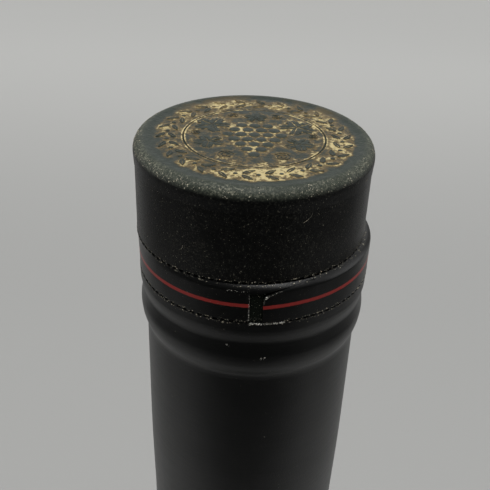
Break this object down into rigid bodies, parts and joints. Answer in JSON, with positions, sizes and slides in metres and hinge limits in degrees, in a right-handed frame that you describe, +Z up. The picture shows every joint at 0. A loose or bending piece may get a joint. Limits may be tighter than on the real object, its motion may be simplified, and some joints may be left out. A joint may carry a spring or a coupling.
{
  "type": "bottle of cognac",
  "caption": "Tall round shut spirit bottle in dark glass, its neck in a black foil capsule with a punched tear band, a pull tab and a pressed, gilded top disc.",
  "frame": {"origin": "centre of the ring that the bottle stands on, at the floor", "axes": "+Z up along the bottle, -Y towards the front, where the pull tab is, +X to the right seen from the front"},
  "size_m": [0.081, 0.081, 0.295],
  "materials": {
    "dark_glass": null,
    "black_foil": "satin black lacquer on foil, dusty, with a thin dull red line round the tear band",
    "disc_foil": "satin black lacquer that looks grey-green in the light, rubbed at the lip",
    "worn_gold": "thin gold stamping, mostly rubbed away"
  },
  "bodies": {
    "root": {"bottle": "dark_glass", "capsule_skirt": "black_foil", "tear_band": "black_foil", "capsule_cap": "black_foil", "top_disc": "disc_foil"}
  },
  "joints": []
}
